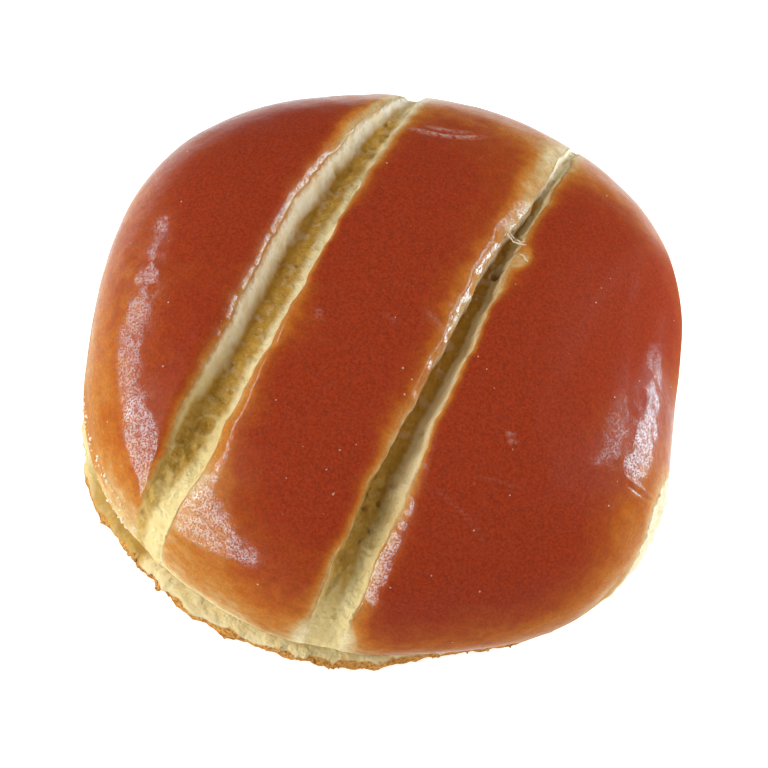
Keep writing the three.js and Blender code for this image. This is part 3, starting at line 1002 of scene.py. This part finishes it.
class BunSizes(bpy.types.PropertyGroup):
    """Sizes of the bun."""
    height: length_setting("Height", "Height of the plain dome above the floor", 48)
    girth_radius: length_setting("Girth radius", "Radius of the bun at its widest", 55.5)
    girth_height: length_setting("Girth height", "Height where the bun is widest", 16)
    dome_power: number_setting("Dome fullness", "Power of the dome's curve; 2 is an ellipse", 2.2,
                               min=1.5, max=4.0)
    cut_depth: number_setting("Cut depth", "Share of the full depth of the knife cuts", 1.0,
                              min=0.2, max=1.5, subtype="FACTOR")
    lip_roll: number_setting("Lip roll", "Share of the full slope of the crust at a lip", 1.0,
                             min=0.0, max=2.0)
    panel_sag: length_setting("Panel sag", "How far the crust sags towards a cut", 1.1)
    crumb_relief: length_setting("Crumb relief", "Height of the lumps in the torn crumb", 0.38)
    crust_relief: length_setting("Crust relief", "Height of the gentle lumps in the crust", 0.25)
    peel_size: length_setting("Peel size", "Width of the dimples in the glaze", 0.34)
    peel_depth: length_setting("Peel depth", "Depth of the dimples in the glaze", 0.035)
    pucker_depth: length_setting("Pucker depth", "Height of the lumps in the puckered patches", 0.15)


class BunColours(bpy.types.PropertyGroup):
    """Colours of the crust from pale to dark, and of the crumb."""
    cream: colour_setting("Cream", "Palest crust by the foot", 230, 215, 172)
    pale_gold: colour_setting("Pale gold", "Crust above the foot", 206, 171, 115)
    gold: colour_setting("Gold", "Crust low on the side", 192, 125, 54)
    orange: colour_setting("Orange", "Crust half way up the side", 181, 98, 29)
    brown: colour_setting("Brown", "Crust at the shoulder", 162, 69, 24)
    dark: colour_setting("Dark", "Crust on the top", 152, 51, 22)
    # Painted glints: tiny highlights drawn as pale flecks
    painted_glint: colour_setting("Fleck", "Tiny pale flecks in the glaze", 235, 205, 180)
    # Scuffed glaze and painted sheen on the ridges of folds
    scuff: colour_setting("Scuff", "Rubbed folds in the glaze", 206, 172, 160)
    crumb: colour_setting("Crumb", "Torn crumb in the light", 252, 247, 230)
    crumb_low: colour_setting("Low crumb", "Torn crumb of the foot and where the cuts run out", 226, 207, 150)
    # Sunk crumb and deep crumb are painted shade at the bottom of a cut; the shreds also take the deep crumb
    # as their browning
    crumb_warm_shade: colour_setting("Sunk crumb", "Bottom of a cut towards its near end", 178, 134, 46)
    crumb_shade_and_brown: colour_setting("Deep crumb", "Torn crumb at the bottom of a cut", 203, 150, 44)
    # Painted shade in the hollows between the crumb's lumps
    crumb_gap_shade: colour_setting("Warm crumb", "Yellower streaks in the torn crumb", 226, 200, 132)
    toast: colour_setting("Toast", "Browned edge of the foot", 214, 160, 84)
    toast_dark: colour_setting("Dark toast", "Darkest spots of the foot's edge", 158, 98, 40)


class BunStage(bpy.types.PropertyGroup):
    """Floor, lights and camera."""
    floor: colour_setting("Floor", "Colour of the pale floor", 250, 250, 250)
    floor_glow: number_setting("Floor glow", "Light that the floor gives off by itself", 0.7, min=0.0)
    left_light: power_setting("Left light", "Power of the soft light on the left", 4.8)
    right_light: power_setting("Right light", "Power of the soft light on the right", 4.8)
    left_card: power_setting("Left card", "Power of the low strip on the left that the glaze mirrors", 1.6)
    near_card: power_setting("Near card", "Power of the card on the near left that the glaze mirrors", 8.6)
    right_card: power_setting("Right card", "Power of the card on the right that the glaze mirrors", 2.0)
    lip_card: power_setting("Lip card", "Power of the higher card on the right that the lips mirror", 0.8)
    surround: number_setting("Surround", "Strength of the glow beyond the bun", 1.1, min=0.0)
    overhead: number_setting("Overhead", "Strength of the light from all other sides", 0.12, min=0.0)
    azimuth: angle_setting("Azimuth", "Direction of the camera round the bun", 10.6)
    elevation: angle_setting("Elevation", "Height of the camera above the floor", 60)
    roll: angle_setting("Roll", "Turn of the camera about its own view", 18)
    distance: length_setting("Distance", "From the camera to the point that it looks at", 520)
    lens: number_setting("Lens", "Focal length of the camera", 136.5, unit="CAMERA")


class BUN_OT_body(bpy.types.Operator):
    """Build the bun with its crust, knife cuts, crease and foot"""
    bl_idname = "mesh.scored_bun_body"
    bl_label = "Bun"

    def execute(self, context):
        sizes = context.scene.bun_sizes
        form = BunForm(sizes)
        skin = BunSkin(form)
        folds, scuff = skin.folds()
        pits, shade = skin.pits()
        relief = (skin.lumps(sizes) + folds + pits) * (1 - skin.under)
        points = skin.points + surface_normals(skin.points, skin.quads, skin.triangles) * relief[:, None]
        points[:, 2] = np.maximum(points[:, 2], 0)
        values = {
            "lip": skin.soft_lip(),
            "crumb": np.maximum(skin.torn, skin.foot),
            # Painted shade of the crumb: cut floors, the near end of the left cut's left wall, and the pits
            "depth": np.clip(skin.sunk() + shade, 0, 1),
            "toast": skin.toast(),
            "warm": skin.warmth(),
            "browning": skin.browning(),
            "glaze": skin.glaze(),
            "scuff": scuff,
            "pucker": skin.pucker(),
            "pool": skin.pool(),
            "coat": skin.coat(),
        }
        material = crust_material(context.scene.bun_colours, sizes)
        points = (points - form.middle()) * MM
        piece = new_piece("bun_body", points, skin.quads, skin.triangles, material, values)
        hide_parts(NODE)
        return {"FINISHED"}


class BUN_OT_shreds(bpy.types.Operator):
    """Lay the torn shreds across the right cut and on its lip"""
    bl_idname = "mesh.scored_bun_shreds"
    bl_label = "Torn shreds"

    def execute(self, context):
        form = BunForm(context.scene.bun_sizes)
        points, quads, triangles = zip(*(shred_tube(form, shred) for shred in SHREDS))
        count = len(points[0])
        points = np.concatenate(points)
        quads, triangles = (np.concatenate([faces + count * index for index, faces in enumerate(kind)])
                            for kind in (quads, triangles))
        points += lumpy_noise(points, SHRED_LUMPS)[:, None]
        browned = np.repeat([shred[-1] for shred in SHREDS], count)
        new_piece("torn_shreds", (points - form.middle()) * MM, quads, triangles, crumb_material(),
                  {"depth": browned, "toast": 0 * browned, "warm": 0 * browned})
        return {"FINISHED"}


class BUN_OT_crumbs(bpy.types.Operator):
    """Scatter toasted crumbs on the foot's edge and pale crumbs low on the left"""
    bl_idname = "mesh.scored_bun_crumbs"
    bl_label = "Loose crumbs"

    def execute(self, context):
        body = bpy.data.objects["bun_body"].data
        number = len(body.vertices)
        place, normal, toast = np.empty(3 * number), np.empty(3 * number), np.empty(number)
        body.vertices.foreach_get("co", place)
        body.vertices.foreach_get("normal", normal)
        body.attributes["toast"].data.foreach_get("value", toast)
        place, normal = place.reshape(-1, 3) / MM, normal.reshape(-1, 3)
        turn = np.degrees(np.arctan2(place[:, 1], place[:, 0]))
        on_foot = (toast > 0.35) & (place[:, 2] > 0.4)
        on_belly = np.abs(turn - BELLY_SPOT["direction"]) < BELLY_SPOT["spread"]
        on_belly &= np.abs(place[:, 2] - BELLY_SPOT["height"]) < BELLY_SPOT["reach"]
        draw = np.random.default_rng(51)
        centres, sizes, browned = [], [], []
        for spots, (count, (least, most), brown) in ((on_foot, FOOT_CRUMBS), (on_belly, BELLY_CRUMBS)):
            pick = draw.choice(np.flatnonzero(spots), count, replace=False)
            size = least * (most / least) ** (draw.uniform(0, 1, count) ** 1.5)
            centre = place[pick] + 0.05 * size[:, None] * normal[pick]
            centre[:, 2] = np.maximum(centre[:, 2], 0.63 * size)
            centres.append(centre)
            sizes.append(size)
            browned.append(draw.uniform(*brown, count))
        points, triangles = lumpy_crumbs(np.concatenate(centres), np.concatenate(sizes), 52)
        browned = np.repeat(np.concatenate(browned), BALL_CORNERS)
        material = bpy.data.materials["torn_crumb"]
        new_piece("loose_crumbs", points * MM, np.empty((0, 4), int), triangles, material,
                  {"depth": 0 * browned, "toast": browned, "warm": smooth_step(0.1, 0.3, browned)})
        return {"FINISHED"}


def pale_floor(scene, stage):
    """Plain floor that gives off some light, so that it stays pale."""
    mesh = bpy.data.meshes.new("pale_floor")
    corners = np.array([[-1, -1, 0], [1, -1, 0], [1, 1, 0], [-1, 1, 0]]) * FLOOR_REACH
    mesh.from_pydata(corners.tolist(), [], [(0, 1, 2, 3)])
    material, tree, shader = new_material("pale_floor")
    shade = spread(tree, grain(tree, object_place(tree), 20), 0.97, 1.0)
    set_inputs(tree, shader, {
        "Base Color": mix_colours(tree, 1.0, stage.floor, shade, "MULTIPLY"),
        "Roughness": 0.9,
        "Emission Color": opaque(stage.floor),
        "Emission Strength": stage.floor_glow,
    })
    mesh.materials.append(material)
    floor = bpy.data.objects.new("pale_floor", mesh)
    scene.collection.objects.link(floor)
    floor.visible_glossy = False


def soft_surround(scene, stage):
    """World that is bright beyond the bun and low down, and dim overhead and behind the camera."""
    scene.world = bpy.data.worlds.new("soft_surround")
    scene.world.use_nodes = True
    tree = scene.world.node_tree
    way = add_node(tree, "ShaderNodeTexCoord").outputs["Generated"]
    way = add_node(tree, "ShaderNodeSeparateXYZ", {"Vector": way}).outputs
    skewed = maths(tree, "SUBTRACT", way["Y"], times(tree, way["X"], 0.1))
    beyond = stretch(tree, skewed, -0.15, 0.55, 0.0, stage.surround)
    low = stretch(tree, way["Z"], -0.08, -0.5)
    glow = plus(tree, times(tree, beyond, low), stage.overhead)
    set_inputs(tree, tree.nodes["Background"], {"Strength": glow, "Color": (1, 1, 1, 1)})
    scene.view_settings.view_transform = "Standard"


def area_light(scene, name, power):
    """Soft light for the body, or a card that shows only as gloss, turned towards the bun."""
    way, size, turn, is_card = LIGHTS[name]
    lamp = bpy.data.lights.new(name, "AREA")
    lamp.shape = "ELLIPSE" if is_card else "RECTANGLE"
    lamp.size, lamp.size_y = size
    lamp.energy = power
    if is_card:
        lamp.color = CARD_TINT
    light = bpy.data.objects.new(name, lamp)
    light.visible_diffuse = not is_card
    light.visible_glossy = is_card
    back = Vector(way).normalized()
    aimed = back.to_track_quat("Z", "Y").to_matrix().to_4x4() @ Matrix.Rotation(np.radians(turn), 4, "Z")
    light.matrix_world = Matrix.Translation(Vector(LIGHT_AIM) + LIGHT_DISTANCE * back) @ aimed
    scene.collection.objects.link(light)


def add_camera(scene, stage):
    """Camera at an azimuth and elevation round its aim, rolled about its own view."""
    azimuth, elevation, roll = stage.azimuth, stage.elevation, stage.roll
    level = Vector((np.cos(azimuth), np.sin(azimuth), 0))
    flat = np.cos(elevation)
    back = Vector((np.sin(azimuth) * flat, -np.cos(azimuth) * flat, np.sin(elevation)))
    upright = back.cross(level)
    right = np.cos(roll) * level + np.sin(roll) * upright
    up = -np.sin(roll) * level + np.cos(roll) * upright
    aim = (Vector(CAMERA_AIM) - Vector(BunForm(scene.bun_sizes).middle())) * MM
    camera = bpy.data.objects.new("camera", bpy.data.cameras.new("camera"))
    camera.data.sensor_width = 36
    camera.data.lens = stage.lens
    camera.data.clip_start = 0.01
    turned = Matrix((right, up, back)).transposed().to_4x4()
    camera.matrix_world = Matrix.Translation(aim + stage.distance * back) @ turned
    scene.collection.objects.link(camera)
    scene.camera = camera


class BUN_OT_stage(bpy.types.Operator):
    """Set up the pale floor, the soft lights and the camera"""
    bl_idname = "scene.scored_bun_stage"
    bl_label = "Stage"

    def execute(self, context):
        scene, stage = context.scene, context.scene.bun_stage
        pale_floor(scene, stage)
        soft_surround(scene, stage)
        for name in LIGHTS:
            area_light(scene, name, getattr(stage, name))
        add_camera(scene, stage)
        return {"FINISHED"}


class BUN_PT_panel(bpy.types.Panel):
    """Sizes, colours and pieces of the bun"""
    bl_idname = "BUN_PT_panel"
    bl_label = "Scored Bun"
    bl_space_type = "VIEW_3D"
    bl_region_type = "UI"
    bl_category = "Bun"

    def draw(self, context):
        layout = self.layout
        for settings in (context.scene.bun_sizes, context.scene.bun_colours, context.scene.bun_stage):
            column = layout.column()
            for name in settings.__annotations__:
                column.prop(settings, name)
        for operator in OPERATORS:
            layout.operator(operator.bl_idname)


OPERATORS = (BUN_OT_body, BUN_OT_shreds, BUN_OT_crumbs, BUN_OT_stage)
SETTINGS = {"bun_sizes": BunSizes, "bun_colours": BunColours, "bun_stage": BunStage}
CLASSES = (*SETTINGS.values(), *OPERATORS, BUN_PT_panel)


def register():
    for kind in CLASSES:
        bpy.utils.register_class(kind)
    for name, kind in SETTINGS.items():
        setattr(bpy.types.Scene, name, bpy.props.PointerProperty(type=kind))


def unregister():
    for name in SETTINGS:
        delattr(bpy.types.Scene, name)
    for kind in reversed(CLASSES):
        bpy.utils.unregister_class(kind)


def main():
    register()
    crumb_group(bpy.context.scene.bun_colours)
    bpy.ops.mesh.scored_bun_body()
    bpy.ops.mesh.scored_bun_shreds()
    bpy.ops.mesh.scored_bun_crumbs()
    bpy.ops.scene.scored_bun_stage()


if __name__ == "__main__":
    main()
